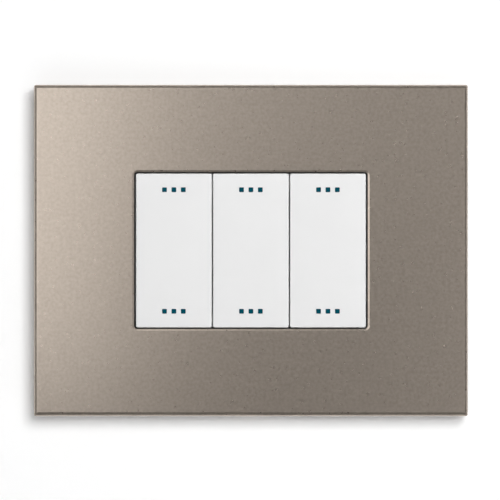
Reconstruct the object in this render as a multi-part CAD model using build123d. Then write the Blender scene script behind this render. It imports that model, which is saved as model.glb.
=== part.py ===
"""Three-module wall switch plate with centre-return rocker keys.

Frame: +X to the right as seen from the front, +Y into the wall, +Z up.
The wall plane is y = 0 and the origin is the middle of the plate on it.
"""

import os
from math import cos, radians, sin

from build123d import *

os.makedirs("parts", exist_ok=True)

# Standard sizes that the wall box and the modules set.
MODULE_NAMES = ("left", "middle", "right")
MODULE_PITCH = 22.5
BOX_SCREW_SPACING = 83.5

# Cover plate.
PLATE_WIDTH = 127.0
PLATE_HEIGHT = 97.0
PLATE_DEPTH = 8.0
PLATE_WALL = 1.8
PLATE_CORNER = 0.8
PLATE_EDGE_ROUND = 1.3
WINDOW_CORNER = 1.0
WINDOW_BEVEL = 0.55
WINDOW_BEVEL_DEPTH = 0.15
WINDOW_COLLAR = 1.3
WINDOW_COLLAR_DEPTH = 3.8
GUSSET = 1.0
GUSSET_INSET = 14.0
PRY_NOTCH = 10.0

# Keys and their marks.
KEY_HEIGHT = 45.0
KEY_GAP = 0.35
KEY_SIDE_GAP = 0.6
KEY_END_GAP = 0.45
KEY_PROUD = 0.3
KEY_FRONT_WALL = 1.4
KEY_SKIRT_WALL = 1.2
KEY_EDGE_ROUND = 0.3
MARK_SIZE = 1.4
MARK_PITCH = 2.75
MARK_DEPTH = 0.6
MARK_INSET = 4.75
MARKS_PER_ROW = 3

# Rocker motion and bearings.
TILT_DEG = 3.5
PIVOT_BEHIND_FACE = 5.0
STOP_CLEARANCE = 0.15
TRUNNION_RADIUS = 1.2
TRUNNION_CLEARANCE = 0.05
TRUNNION_LENGTH = 1.4
EAR_THICKNESS = 1.5
EAR_LENGTH = 6.4
EAR_WALL = 1.0

# Rocker carrier.
CARRIER_WEB = 1.4
CARRIER_RIB = 1.2
CARRIER_RIB_HEIGHT = 1.7
CARRIER_END_GAP = 5.5
LUG_WIDTH = 4.0
LUG_THICKNESS = 3.0
LUG_NOSE = 1.2
LUG_CLEARANCE = 1.2
CLIP_WIDTH = 5.0
CLIP_THICKNESS = 1.1
CLIP_BARB = 0.5
CLIP_CLEARANCE = 0.2
LATCH_CLEARANCE = 0.05

# Mounting frame.
FRAME_SIDE_MARGIN = 7.7
FRAME_END_MARGIN = 9.7
FRAME_FLANGE = 2.0
FRAME_CORNER = 3.0
LIGHT_CHAMFER = 1.0
LIGHT_WIDTH = 17.0
LIGHT_MARGIN = 2.8
SIDE_LIGHT_HEIGHT = 12.0
SIDE_LIGHT_SPACING = 32.8
SIDE_LIGHT_MARGIN = 4.2
FRAME_RIM = 1.6
FRAME_RIM_DEPTH = 5.0
FRAME_LEDGE = 1.0
LEDGE_LAP = 1.2
OPENING_CLEARANCE = 0.2
REBATE_HEIGHT = 0.8
INNER_RIB = 1.4
SLOT_LENGTH = 7.4
SLOT_CLEARANCE = 0.2
PAD_MARGIN = 2.4
PAD_HEIGHT = 0.8
HOOK_SPACING = 54.0
HOOK_WIDTH = 8.0
HOOK_THICKNESS = 1.4
HOOK_CATCH = 0.8
HOOK_CLEARANCE = 0.1

# Fixing screws.
FIX_THREAD_RADIUS = 1.75
FIX_NECK_RADIUS = 1.4
FIX_THREAD_LENGTH = 20.0
FIX_HEAD_RADIUS = 3.4
FIX_HEAD_HEIGHT = 2.2
SCREW_SLOT = 1.0

# Module housing.
MODULE_GAP = 0.2
FLANGE_THICKNESS = 1.4
COLLAR_SIDE_WALL = 1.55
COLLAR_END_WALL = 1.3
COLLAR_SIDE_STEP = 0.2
DECK_THICKNESS = 1.4
DECK_BACK = 0.4
TOOTH_WIDTH = 9.0
TOOTH_LAP = 0.65
TONGUE_WIDTH = 6.0
TONGUE_THICKNESS = 1.05
TONGUE_LENGTH = 6.6
TONGUE_FIT = 0.05
TONGUE_EYE_WIDTH = 3.7
TONGUE_EYE_LENGTH = 2.25
EYE_CLEARANCE = 0.17
CATCH_HEIGHT = 0.85
BASE_BACK = 26.0
BASE_WALL = 1.4
BASE_REAR_WALL = 1.6
BASE_SIDE_STEP = 0.05
BASE_CORNER = 1.0
CELL_WALL = 1.2
PEDESTAL_SIZE = 8.6
CELL_CLEARANCE = 0.2
ENTRY_WIDTH = 5.0
ENTRY_FUNNEL = 0.6
WELL_CORNER = 0.8
WELL_CLEARANCE = 0.9

# Contacts, blades and terminals.
BLADE_THICKNESS = 0.35
BLADE_ROOT_WIDTH = 5.0
BLADE_TIP_WIDTH = 3.6
BLADE_TIP_GAP = 0.4
BLADE_ROOT_GAP = 1.0
BLADE_LUG_GAP = 0.1
BLADE_BELOW_DECK = 2.6
CONTACT_SIZE = 3.0
CONTACT_HEIGHT = 0.9
CONTACT_SPARE = 0.04
STRIP = 1.0
STRIP_WIDTH = 4.4
STRIP_BEND = 0.7
TAB_MARGIN = 0.3
CAGE_WIDTH = 6.6
CAGE_LENGTH = 7.0
CAGE_WALL = 1.0
CAGE_SCREW_WALL = 1.2
CAGE_FLOOR_GAP = 1.1
WIRE_SPACE = 3.3
CLAMP_TRAVEL = 1.7
TERMINAL_THREAD = 1.75
TERMINAL_STAND = 2.0
TERMINAL_RECESS = 1.2
THREAD_FIT = 0.05

# Depths along Y that follow from the sizes above.
tilt = radians(TILT_DEG)
plate_front = -PLATE_DEPTH
plate_inside = plate_front + PLATE_WALL
key_front = plate_front - KEY_PROUD
key_inside = key_front + KEY_FRONT_WALL
pivot_y = key_front + PIVOT_BEHIND_FACE
seat_y = -FRAME_FLANGE
flange_front = seat_y - FLANGE_THICKNESS
key_reach = (KEY_HEIGHT / 2) * sin(tilt) + STOP_CLEARANCE
key_back = pivot_y + (flange_front - pivot_y - key_reach) / cos(tilt)
web_front = key_inside + CARRIER_RIB_HEIGHT
web_back = web_front + CARRIER_WEB
deck_front = DECK_BACK - DECK_THICKNESS
blade_front = DECK_BACK + BLADE_BELOW_DECK
blade_back = blade_front + BLADE_THICKNESS
base_floor = BASE_BACK - BASE_REAR_WALL

# Sizes across X and Z that follow.
plate_inner_w = PLATE_WIDTH - 2 * PLATE_WALL
plate_inner_h = PLATE_HEIGHT - 2 * PLATE_WALL
frame_width = plate_inner_w - 2 * FRAME_SIDE_MARGIN
frame_height = plate_inner_h - 2 * FRAME_END_MARGIN
module_count = len(MODULE_NAMES)
key_width = MODULE_PITCH - KEY_GAP
row_width = module_count * MODULE_PITCH
window_width = row_width - KEY_GAP + 2 * KEY_SIDE_GAP
window_height = KEY_HEIGHT + 2 * KEY_END_GAP
flange_width = MODULE_PITCH - MODULE_GAP
collar_half_h = KEY_HEIGHT / 2 - LEDGE_LAP - OPENING_CLEARANCE
collar_inner_h = collar_half_h - COLLAR_END_WALL
collar_half_w = flange_width / 2 - COLLAR_SIDE_STEP
ear_outer = collar_half_w - COLLAR_SIDE_WALL
ear_inner = ear_outer - EAR_THICKNESS
carrier_half_w = ear_inner - OPENING_CLEARANCE
carrier_half_h = KEY_HEIGHT / 2 - CARRIER_END_GAP
frame_open_w = row_width + 2 * OPENING_CLEARANCE
frame_open_half_h = KEY_HEIGHT / 2 - LEDGE_LAP
base_half_w = collar_half_w - BASE_SIDE_STEP
base_half_h = collar_half_h - TONGUE_THICKNESS - TONGUE_FIT
base_inner_w = base_half_w - BASE_WALL
base_inner_h = base_half_h - BASE_WALL

# Terminal layout, counted inwards from the base's end wall.
screw_top = base_half_h - TERMINAL_RECESS
cage_outer = screw_top - TERMINAL_STAND
strip_outer = cage_outer - CAGE_SCREW_WALL - CLAMP_TRAVEL
strip_inner = strip_outer - STRIP
cage_inner = strip_inner - WIRE_SPACE - CAGE_WALL
cell_width = CAGE_WIDTH + 2 * CELL_CLEARANCE
cell_inner = cage_inner - CELL_CLEARANCE
side_cell_x = base_inner_w - cell_width / 2
strip_back = base_floor - CELL_CLEARANCE
cage_back = base_floor - CAGE_FLOOR_GAP
cage_front = cage_back - CAGE_LENGTH
screw_y = (cage_front + cage_back) / 2
tab_end = base_inner_h - BLADE_TIP_GAP

# Contact positions: the gap closes at the end of the key's travel.
contact_z = tab_end - CONTACT_SIZE / 2 - TAB_MARGIN
contact_gap = (contact_z + CONTACT_SIZE / 2) * sin(tilt) + CONTACT_SPARE
moving_face = blade_back + CONTACT_HEIGHT
fixed_face = moving_face + contact_gap
tab_front = fixed_face + CONTACT_HEIGHT
tab_back = tab_front + STRIP
common_back = blade_back + STRIP
lug_z = contact_z - CONTACT_SIZE / 2 - LUG_THICKNESS / 2 - TAB_MARGIN
clip_z = lug_z - LUG_THICKNESS / 2 - 2 * CLIP_THICKNESS - CLIP_BARB


def span(x0, x1, y0, y1, z0, z1):
    """Box between two opposite corners."""
    centre = Pos((x0 + x1) / 2, (y0 + y1) / 2, (z0 + z1) / 2)
    return centre * Box(x1 - x0, y1 - y0, z1 - z0)


def slab(width, height, y0, y1, x=0.0, z=0.0):
    """Box of a width and height about x and z, from y0 to y1."""
    return span(x - width / 2, x + width / 2, y0, y1, z - height / 2, z + height / 2)


def panel(outline, y0, y1):
    """Outline drawn in the X-Z plane, made solid from y0 to y1."""
    return extrude(Plane.XZ.offset(-y1) * outline, amount=y1 - y0, dir=(0, -1, 0))


def prism(points, width, x=0.0):
    """Outline of (y, z) points, made solid over a width about x."""
    outline = Polygon(*points, align=None)
    return extrude(Plane.YZ.offset(x - width / 2) * outline, amount=width, dir=(1, 0, 0))


def rod_y(radius, y0, y1, x=0.0, z=0.0):
    """Round rod along Y."""
    return Pos(x, (y0 + y1) / 2, z) * Rot(90, 0, 0) * Cylinder(radius, y1 - y0)


def rod_z(radius, z0, z1, x=0.0, y=0.0):
    """Round rod along Z."""
    return Pos(x, y, (z0 + z1) / 2) * Cylinder(radius, z1 - z0)


def rod_x(radius, x0, x1, y, z=0.0):
    """Round rod along X."""
    return Pos((x0 + x1) / 2, y, z) * Rot(0, 90, 0) * Cylinder(radius, x1 - x0)


def cut_corners(width, height, cut):
    """Rectangle with its four corners cut off."""
    outline = Rectangle(width, height)
    return chamfer(outline.vertices(), cut)


def both_ends(shape):
    """A shape and its mirror image below the middle."""
    return shape + mirror(shape, about=Plane.XY)


def both_sides(shape):
    """A shape and its mirror image left of the middle."""
    return shape + mirror(shape, about=Plane.YZ)


def front_edges(shape):
    """Edges of the face that looks out of the wall."""
    return shape.faces().sort_by(Axis.Y)[0].edges()


def cover_plate():
    """Moulded plate: rounded front, window with a collar, gussets and snap hooks."""
    body = slab(PLATE_WIDTH, PLATE_HEIGHT, plate_front, 0)
    body = fillet(front_edges(body), PLATE_EDGE_ROUND)
    body &= panel(RectangleRounded(PLATE_WIDTH, PLATE_HEIGHT, PLATE_CORNER), plate_front, 0)
    body -= slab(plate_inner_w, plate_inner_h, plate_inside, 0)
    rim = Rectangle(window_width + 2 * WINDOW_COLLAR, window_height + 2 * WINDOW_COLLAR)
    body += panel(rim, plate_inside, plate_front + WINDOW_COLLAR_DEPTH)
    window = RectangleRounded(window_width, window_height, WINDOW_CORNER)
    body -= panel(window, plate_front, plate_front + WINDOW_COLLAR_DEPTH)
    front = body.faces().sort_by(Axis.Y)[0]
    lip = front.inner_wires()[0].edges()
    body = chamfer(lip, WINDOW_BEVEL, WINDOW_BEVEL_DEPTH, reference=front)
    foot = -FRAME_FLANGE + GUSSET / 2
    reach = FRAME_END_MARGIN - HOOK_THICKNESS - 2 * HOOK_CATCH
    top = plate_inner_h / 2
    rib = [(plate_inside, top), (plate_inside, top - reach), (foot, top - GUSSET), (foot, top)]
    side = plate_inner_w / 2
    body += both_sides(both_ends(prism(rib, GUSSET, side - GUSSET_INSET)))
    reach = FRAME_SIDE_MARGIN - 2 * HOOK_CATCH
    web = [(side, plate_inside), (side - reach, plate_inside), (side - GUSSET, foot), (side, foot)]
    outline = Plane.XY.offset(top - GUSSET_INSET) * Polygon(*web, align=None)
    body += both_sides(both_ends(extrude(outline, amount=GUSSET, dir=(0, 0, 1))))
    catch_back = -FRAME_RIM_DEPTH + FRAME_RIM
    inside = frame_height / 2 + HOOK_CATCH + HOOK_CLEARANCE
    outside = inside + HOOK_THICKNESS
    barb = inside - HOOK_CATCH + HOOK_CLEARANCE
    hook = [
        (plate_inside, inside),
        (plate_inside, outside),
        (-FRAME_RIM, outside),
        (-FRAME_RIM, inside - HOOK_CLEARANCE),
        (-FRAME_RIM - HOOK_CATCH, barb),
        (catch_back + HOOK_CLEARANCE, barb),
        (catch_back + HOOK_CLEARANCE, inside),
    ]
    body += both_sides(both_ends(prism(hook, HOOK_WIDTH, HOOK_SPACING / 2)))
    body -= span(-PRY_NOTCH / 2, PRY_NOTCH / 2, -FRAME_RIM, 0, -PLATE_HEIGHT / 2, -top)
    return body


def mounting_frame():
    """Support frame with ledges for the modules, screw slots and plate catches."""
    outline = cut_corners(frame_width, frame_height, FRAME_CORNER)
    inner = cut_corners(frame_width - 2 * FRAME_RIM, frame_height - 2 * FRAME_RIM, FRAME_CORNER)
    body = panel(outline, -FRAME_RIM_DEPTH, 0)
    body -= panel(inner, -FRAME_RIM_DEPTH, seat_y)
    rib_w = frame_open_w + 2 * INNER_RIB
    rib_h = KEY_HEIGHT + 2 * OPENING_CLEARANCE + 2 * INNER_RIB
    body += slab(rib_w, rib_h, flange_front, seat_y)
    body -= slab(frame_open_w, rib_h - 2 * INNER_RIB, flange_front, seat_y)
    body -= slab(frame_open_w, 2 * frame_open_half_h, seat_y, 0)
    rebate_h = 2 * (frame_open_half_h + REBATE_HEIGHT)
    body -= slab(frame_open_w, rebate_h, seat_y + FRAME_LEDGE, 0)
    wing = (frame_width - rib_w) / 2 - FRAME_RIM
    band = (frame_height - rib_h) / 2 - FRAME_RIM
    band_z = (rib_h + band) / 2
    light = cut_corners(LIGHT_WIDTH, band - 2 * LIGHT_MARGIN, LIGHT_CHAMFER)
    for x in (-MODULE_PITCH, 0, MODULE_PITCH):
        body -= both_ends(panel(Pos(x, band_z) * light, seat_y, 0))
    wing_x = (rib_w + wing) / 2
    light = cut_corners(wing - 2 * SIDE_LIGHT_MARGIN, SIDE_LIGHT_HEIGHT, LIGHT_CHAMFER)
    light = Pos(wing_x, SIDE_LIGHT_SPACING / 2) * light
    body -= both_sides(both_ends(panel(light, seat_y, 0)))
    slot_width = 2 * (FIX_THREAD_RADIUS + SLOT_CLEARANCE)
    pad = cut_corners(slot_width + 2 * PAD_MARGIN, SLOT_LENGTH + 2 * PAD_MARGIN, PAD_MARGIN)
    slot = SlotOverall(SLOT_LENGTH, slot_width, rotation=90)
    boss = panel(Pos(BOX_SCREW_SPACING / 2, 0) * pad, seat_y - PAD_HEIGHT, seat_y)
    hole = panel(Pos(BOX_SCREW_SPACING / 2, 0) * slot, seat_y - PAD_HEIGHT, 0)
    body += both_sides(boss)
    body -= both_sides(hole)
    edge = frame_height / 2
    back = -FRAME_RIM_DEPTH + FRAME_RIM
    lip = edge + HOOK_CATCH
    catch = [(back, edge), (back, lip), (back - HOOK_CATCH / 2, lip), (back - FRAME_RIM, edge)]
    body += both_sides(both_ends(prism(catch, HOOK_WIDTH, HOOK_SPACING / 2)))
    return body


def fixing_screws():
    """Two screws with a plain neck in the frame's slot and a free threaded end."""
    head_back = seat_y - PAD_HEIGHT
    head_front = head_back - FIX_HEAD_HEIGHT
    screw = rod_y(FIX_HEAD_RADIUS, head_front, head_back)
    screw += rod_y(FIX_NECK_RADIUS, head_back, 0)
    screw += rod_y(FIX_THREAD_RADIUS, 0, FIX_THREAD_LENGTH)
    screw -= slab(2 * FIX_HEAD_RADIUS, SCREW_SLOT, head_front, head_front + SCREW_SLOT)
    places = (-BOX_SCREW_SPACING / 2, BOX_SCREW_SPACING / 2)
    return Compound(children=[Pos(x, 0, 0) * screw for x in places])


def mark_places():
    """Centres of the marks of one key, as (x, z)."""
    middle = (MARKS_PER_ROW - 1) / 2
    row = [(number - middle) * MARK_PITCH for number in range(MARKS_PER_ROW)]
    level = KEY_HEIGHT / 2 - MARK_INSET
    return [(x, z) for z in (level, -level) for x in row]


def key_marks():
    """Inlays that fill the key's pockets, flush with its face."""
    inlay = slab(MARK_SIZE, MARK_SIZE, key_front, key_front + MARK_DEPTH)
    return Compound(children=[Pos(x, 0, z) * inlay for x, z in mark_places()])


def key():
    """Flat cap with rounded edges, mark pockets and two clip legs."""
    body = slab(key_width, KEY_HEIGHT, key_front, key_back)
    body = fillet(front_edges(body), KEY_EDGE_ROUND)
    inner_w = key_width - 2 * KEY_SKIRT_WALL
    inner_h = KEY_HEIGHT - 2 * KEY_SKIRT_WALL
    body -= slab(inner_w, inner_h, key_inside, key_back)
    body -= key_marks()
    inner = clip_z - CLIP_THICKNESS / 2
    outer = clip_z + CLIP_THICKNESS / 2
    latch = web_back + LATCH_CLEARANCE
    leg = [
        (key_inside, inner),
        (latch + CLIP_THICKNESS, inner),
        (latch + CLIP_THICKNESS, outer),
        (latch + CLIP_THICKNESS / 3, outer + CLIP_BARB),
        (latch, outer + CLIP_BARB),
        (latch, outer),
        (key_inside, outer),
    ]
    body += both_ends(prism(leg, CLIP_WIDTH))
    return body


def rocker_carrier():
    """Tray under the key with trunnions at its sides and a press lug at each end."""
    width = 2 * carrier_half_w
    height = 2 * carrier_half_h
    body = slab(width, height, key_inside, web_back)
    body -= slab(width - 2 * CARRIER_RIB, height - 2 * CARRIER_RIB, key_inside, web_front)
    cheek_back = pivot_y + TRUNNION_RADIUS + TRUNNION_CLEARANCE
    cheek = [carrier_half_w - CARRIER_RIB, carrier_half_w]
    body += both_sides(span(*cheek, web_front, cheek_back, -EAR_LENGTH / 2, EAR_LENGTH / 2))
    tip = carrier_half_w + TRUNNION_LENGTH
    body += both_sides(rod_x(TRUNNION_RADIUS, carrier_half_w, tip, pivot_y))
    lug = slab(LUG_WIDTH, LUG_THICKNESS, web_back, blade_front - BLADE_LUG_GAP, 0, lug_z)
    nose = lug.faces().sort_by(Axis.Y)[-1].edges().filter_by(Axis.X)
    lug = chamfer(nose, LUG_NOSE)
    body += both_ends(lug)
    slot_low = clip_z - CLIP_THICKNESS / 2 - 2 * CLIP_CLEARANCE
    slot_high = clip_z + CLIP_THICKNESS / 2 + CLIP_CLEARANCE
    half = CLIP_WIDTH / 2 + CLIP_CLEARANCE
    body -= both_ends(span(-half, half, web_front, web_back, slot_low, slot_high))
    return body


def module_front():
    """Front cover of a module: flange, collar, deck, bearing ears, teeth and tongues."""
    body = slab(flange_width, KEY_HEIGHT, flange_front, seat_y)
    body += slab(2 * collar_half_w, 2 * collar_half_h, seat_y, DECK_BACK)
    body -= slab(2 * ear_outer, 2 * collar_inner_h, flange_front, deck_front)
    swing = LUG_CLEARANCE
    half = LUG_WIDTH / 2 + swing
    low = lug_z - LUG_THICKNESS / 2 - swing
    high = lug_z + LUG_THICKNESS / 2 + swing
    body -= both_ends(span(-half, half, deck_front, DECK_BACK, low, high))
    bore = TRUNNION_RADIUS + TRUNNION_CLEARANCE
    ear_front = pivot_y - bore - EAR_WALL
    ear = span(ear_inner, ear_outer, ear_front, deck_front, -EAR_LENGTH / 2, EAR_LENGTH / 2)
    corner = ear.edges().filter_by(Axis.Z).group_by(Axis.Y)[0].sort_by(Axis.X)[0]
    ear = chamfer(corner, EAR_THICKNESS / 2)
    ear -= rod_x(bore, ear_inner, ear_outer, pivot_y)
    body += both_sides(ear)
    hold = seat_y + FRAME_LEDGE + LATCH_CLEARANCE
    tip = collar_half_h + TOOTH_LAP
    tooth = [(hold, collar_half_h), (hold, tip), (hold / 2, tip), (DECK_BACK, collar_half_h)]
    body += both_ends(prism(tooth, TOOTH_WIDTH))
    tongue_inner = collar_half_h - TONGUE_THICKNESS
    tongue_end = DECK_BACK + TONGUE_LENGTH
    tongue = slab(TONGUE_WIDTH, TONGUE_THICKNESS, DECK_BACK, tongue_end)
    tongue = Pos(0, 0, tongue_inner + TONGUE_THICKNESS / 2) * tongue
    eye_end = tongue_end - TONGUE_THICKNESS
    eye = slab(TONGUE_EYE_WIDTH, 4 * TONGUE_THICKNESS, eye_end - TONGUE_EYE_LENGTH, eye_end)
    tongue -= Pos(0, 0, collar_half_h) * eye
    body += both_ends(tongue)
    return body


def module_base():
    """Deep cup with terminal cells, a pedestal, wire entries and screwdriver wells."""
    outline = cut_corners(2 * base_half_w, 2 * base_half_h, BASE_CORNER)
    body = panel(outline, DECK_BACK, BASE_BACK)
    body = chamfer(body.faces().sort_by(Axis.Y)[-1].edges(), BASE_CORNER / 2)
    body -= slab(2 * base_inner_w, 2 * base_inner_h, DECK_BACK, base_floor)
    wall = cell_inner - CELL_WALL / 2
    body += both_ends(slab(2 * base_inner_w, CELL_WALL, tab_back, base_floor, 0, wall))
    upper = [tab_back, base_floor, cell_inner, base_inner_h]
    body += both_sides(span(cell_width / 2, cell_width / 2 + CELL_WALL, *upper))
    lower = [tab_back, base_floor, -base_inner_h, -cell_inner]
    edge = side_cell_x - cell_width / 2
    body += both_sides(span(edge - CELL_WALL, edge, *lower))
    pedestal = slab(PEDESTAL_SIZE, PEDESTAL_SIZE, common_back, base_floor)
    bore = PEDESTAL_SIZE - 2 * CELL_WALL
    pedestal -= slab(bore, bore, common_back, base_floor)
    body += pedestal
    entry_low = cage_inner + CAGE_WALL
    entry_mid = entry_low + WIRE_SPACE / 2
    entry = slab(ENTRY_WIDTH + 2 * ENTRY_FUNNEL, WIRE_SPACE + 2 * ENTRY_FUNNEL, base_floor, BASE_BACK)
    throat = entry.faces().sort_by(Axis.Y)[0]
    entry = chamfer(throat.edges(), ENTRY_FUNNEL, BASE_REAR_WALL - CELL_CLEARANCE, reference=throat)
    well_size = 2 * (TERMINAL_THREAD + WELL_CLEARANCE)
    well = Plane.XY.offset(base_inner_h) * Pos(0, screw_y) * cut_corners(well_size, well_size, WELL_CORNER)
    well = extrude(well, amount=BASE_WALL, dir=(0, 0, 1))
    for x, end in terminal_places():
        body -= Pos(x, 0, end * entry_mid) * entry
        body -= Pos(x, 0, 0) * (well if end > 0 else mirror(well, about=Plane.XY))
    hold = DECK_BACK + TONGUE_LENGTH - TONGUE_THICKNESS - LATCH_CLEARANCE
    start = hold - TONGUE_EYE_LENGTH + 2 * LATCH_CLEARANCE
    top = base_half_h + CATCH_HEIGHT
    catch = [(start, base_half_h), (hold, base_half_h), (hold, top), (hold - TONGUE_FIT, top)]
    body += both_ends(prism(catch, TONGUE_EYE_WIDTH - 2 * EYE_CLEARANCE))
    return body


def terminal_places():
    """The three terminals of a module, as (x, end): upper, lower and common."""
    return [(0.0, 1), (-side_cell_x, -1), (side_cell_x, -1)]


def blade():
    """Upper spring blade, tapering to its tip."""
    root = BLADE_ROOT_WIDTH / 2
    tip = BLADE_TIP_WIDTH / 2
    end = tab_end
    outline = [(-root, BLADE_ROOT_GAP), (root, BLADE_ROOT_GAP), (tip, end), (-tip, end)]
    return panel(Polygon(*outline, align=None), blade_front, blade_back)


def contact_tip(y0, y1):
    """Square contact tip of the upper contact pair."""
    return slab(CONTACT_SIZE, CONTACT_SIZE, y0, y1, 0, contact_z)


def bent_strip(tab, leg_x, end, front):
    """Tab in the contact chamber with a leg bent back into a terminal cell."""
    near = min(end * strip_inner, end * strip_outer)
    leg = span(leg_x - STRIP_WIDTH / 2, leg_x + STRIP_WIDTH / 2, front, strip_back, near, near + STRIP)
    body = tab + leg
    bend = (front, end * (strip_inner if tab_is_outside(tab, end) else strip_outer))
    edges = body.edges().filter_by(Axis.X)
    corner = [e for e in edges if abs(e.center().Y - bend[0]) + abs(e.center().Z - bend[1]) < STRIP / 10]
    return fillet(corner, STRIP_BEND)


def tab_is_outside(tab, end):
    """True when the tab lies between the leg and the end wall."""
    return end * tab.center().Z > (strip_inner + strip_outer) / 2


def upper_terminal():
    """Strip with the upper fixed contact's tab."""
    half = cell_width / 2 + CELL_WALL - TAB_MARGIN
    tab = span(-half, half, tab_front, tab_back, strip_inner, tab_end)
    return bent_strip(tab, 0.0, 1, tab_front)


def lower_terminal():
    """Strip with the lower fixed contact's tab, its leg to the left."""
    left = -side_cell_x - STRIP_WIDTH / 2
    right = CONTACT_SIZE / 2 + TAB_MARGIN
    tab = span(left, right, tab_front, tab_back, -tab_end, -strip_inner)
    return bent_strip(tab, -side_cell_x, -1, tab_front)


def common_terminal():
    """Strip that carries both blades, with an arm and a leg to the right."""
    half = PEDESTAL_SIZE / 2
    right = side_cell_x + STRIP_WIDTH / 2
    tab = span(-half, right, blade_back, common_back, -half, half)
    tab += span(right - STRIP_WIDTH, right, blade_back, common_back, -strip_outer, half)
    return bent_strip(tab, side_cell_x, -1, blade_back)


def clamp_cage():
    """Square clamp cage of an upper terminal, with its screw hole."""
    body = span(-CAGE_WIDTH / 2, CAGE_WIDTH / 2, cage_front, cage_back, cage_inner, cage_outer)
    hollow = CAGE_WIDTH / 2 - CAGE_WALL
    low = cage_inner + CAGE_WALL
    high = cage_outer - CAGE_SCREW_WALL
    body -= span(-hollow, hollow, cage_front, cage_back, low, high)
    return body - rod_z(TERMINAL_THREAD + THREAD_FIT, high, cage_outer, 0, screw_y)


def terminal_screw():
    """Headless clamp screw of an upper terminal, its tip on the strip."""
    return rod_z(TERMINAL_THREAD, strip_outer + THREAD_FIT, screw_top, 0, screw_y)


def at_terminals(upper):
    """Copies of an upper terminal's piece at the three terminals."""
    lower = mirror(upper, about=Plane.XY)
    return Compound(children=[Pos(x, 0, 0) * (upper if end > 0 else lower) for x, end in terminal_places()])


def module_pieces():
    """All pieces of one module, about x = 0, by name."""
    upper_blade = blade()
    moving = contact_tip(blade_back, moving_face)
    fixed = contact_tip(fixed_face, tab_front)
    return {
        "key": key(),
        "key_marks": key_marks(),
        "rocker_carrier": rocker_carrier(),
        "module_front": module_front(),
        "module_base": module_base(),
        "upper_blade": upper_blade,
        "lower_blade": mirror(upper_blade, about=Plane.XY),
        "upper_contact": moving,
        "lower_contact": mirror(moving, about=Plane.XY),
        "fixed_contacts": Compound(children=[fixed, mirror(fixed, about=Plane.XY)]),
        "upper_terminal": upper_terminal(),
        "lower_terminal": lower_terminal(),
        "common_terminal": common_terminal(),
        "clamp_cages": at_terminals(clamp_cage()),
        "terminal_screws": at_terminals(terminal_screw()),
    }


export_step(cover_plate(), "parts/cover_plate.step")
export_step(mounting_frame(), "parts/mounting_frame.step")
export_step(fixing_screws(), "parts/fixing_screws.step")
pieces = module_pieces()
for number, module_name in enumerate(MODULE_NAMES):
    module_x = (number - (module_count - 1) / 2) * MODULE_PITCH
    for piece_name, piece in pieces.items():
        export_step(Pos(module_x, 0, 0) * piece, f"parts/{piece_name}_{module_name}.step")
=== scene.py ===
"""Finishes and lights a three-module wall switch plate.

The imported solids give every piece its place. Here they get their finishes, the pieces
whose form is too fine for the solids are built as meshes, and the plate hangs on a
white wall under soft studio light.
"""

import logging
import math
from abc import ABC, abstractmethod
from collections.abc import Callable, Iterable, Sequence
from dataclasses import dataclass
from enum import Enum

import bmesh
import bpy
from bmesh.types import BMesh
from bpy.types import Material, Mesh, Node, NodeSocket, NodeTree, Object
from mathutils import Matrix, Vector


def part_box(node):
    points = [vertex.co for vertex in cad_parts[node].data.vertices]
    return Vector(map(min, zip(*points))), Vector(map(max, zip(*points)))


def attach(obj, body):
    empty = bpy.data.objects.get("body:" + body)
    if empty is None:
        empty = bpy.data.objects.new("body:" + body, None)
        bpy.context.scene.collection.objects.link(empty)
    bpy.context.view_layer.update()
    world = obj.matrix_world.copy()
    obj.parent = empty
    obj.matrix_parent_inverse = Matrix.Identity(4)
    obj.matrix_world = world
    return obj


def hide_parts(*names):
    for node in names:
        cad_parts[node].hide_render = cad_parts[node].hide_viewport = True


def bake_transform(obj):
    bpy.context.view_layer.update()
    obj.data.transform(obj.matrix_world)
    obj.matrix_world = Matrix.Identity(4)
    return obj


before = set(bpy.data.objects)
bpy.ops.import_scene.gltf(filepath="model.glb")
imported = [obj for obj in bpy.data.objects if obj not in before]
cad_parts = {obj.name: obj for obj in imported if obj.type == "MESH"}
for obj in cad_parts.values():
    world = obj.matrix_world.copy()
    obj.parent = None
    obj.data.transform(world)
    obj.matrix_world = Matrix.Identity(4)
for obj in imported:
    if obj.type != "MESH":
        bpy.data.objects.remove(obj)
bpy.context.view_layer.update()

LOG = logging.getLogger("switch_plate")
MM = 0.001
MICRON = 0.000001
WALL_BODY = "wall_unit"
WHITE = (1.0, 1.0, 1.0, 1.0)

# Edges that turn by more than this stay crisp.
CREASE_DEG = 35.0
# Steps of a rounded edge in a mesh, and rays that round one in a material.
ROUND_STEPS = 6
EDGE_RAYS = 6
# Blender's noise keeps mostly between these values.
NOISE_LOW = 0.3
NOISE_HIGH = 0.7

# Numbers of the sockets on Blender's Mix node, whose names repeat: for colours, then for numbers.
MIX_FACTOR = 0
MIX_FIRST = 6
MIX_SECOND = 7
MIX_RESULT = 2
BLEND_FIRST = 2
BLEND_SECOND = 3
BLEND_RESULT = 0


class Side(Enum):
    """Place of a switch module in the row, seen from the front."""

    LEFT = "left"
    MIDDLE = "middle"
    RIGHT = "right"


class End(Enum):
    """End of a module that a blade or a terminal belongs to."""

    UPPER = 1
    LOWER = -1


class Cut(Enum):
    """What a tool mesh does to the mesh that it meets."""

    TAKE_AWAY = "DIFFERENCE"
    JOIN = "UNION"


class Reach(Enum):
    """Which kinds of surface a light or a backdrop works on, as (matt, glossy)."""

    ALL = (True, True)
    MATT = (True, False)
    GLOSSY = (False, True)
    NONE = (False, False)


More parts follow.
